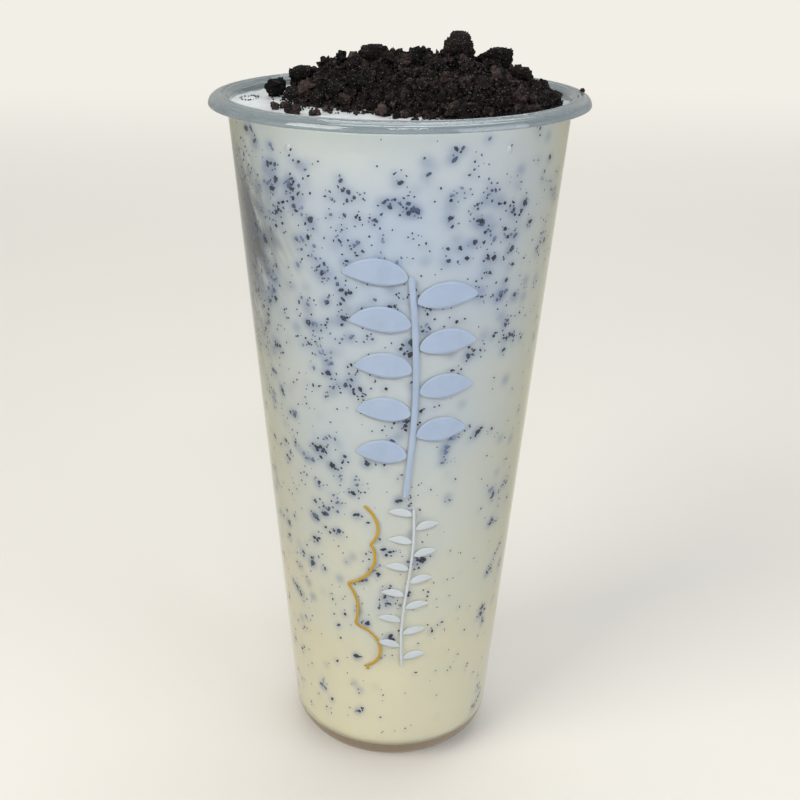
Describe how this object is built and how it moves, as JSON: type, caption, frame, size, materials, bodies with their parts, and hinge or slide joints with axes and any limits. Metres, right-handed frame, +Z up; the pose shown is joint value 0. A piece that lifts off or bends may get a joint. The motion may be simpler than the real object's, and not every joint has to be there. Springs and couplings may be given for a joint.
{
  "type": "cookies and cream milkshake",
  "caption": "Tall tapered clear plastic cup filled with speckled milkshake, topped with cream and a heap of dark cookie crumbs.",
  "frame": {"origin": "middle of the foot ring, on the surface that the cup stands on", "axes": "+Z up along the cup's axis, -Y the front that carries the print, +X to the right"},
  "size_m": [0.095, 0.095, 0.1999],
  "materials": {
    "clear_plastic": "hazy moulded polypropylene",
    "milkshake": "smooth wet liquid with dark specks",
    "cream": "soft moist whipped cream",
    "cookie": "dry crumbled dark biscuit"
  },
  "bodies": {
    "root": {"cup": "clear_plastic", "milkshake": "milkshake", "whipped_cream": "cream", "crumb_heap": "cookie", "crumb_clump_tall": "cookie", "crumb_clump_right": "cookie", "crumb_clump_middle": "cookie", "crumb_clump_left": "cookie", "crumb_clump_shoulder": "cookie", "crumb_clump_loose": "cookie"}
  },
  "joints": []
}
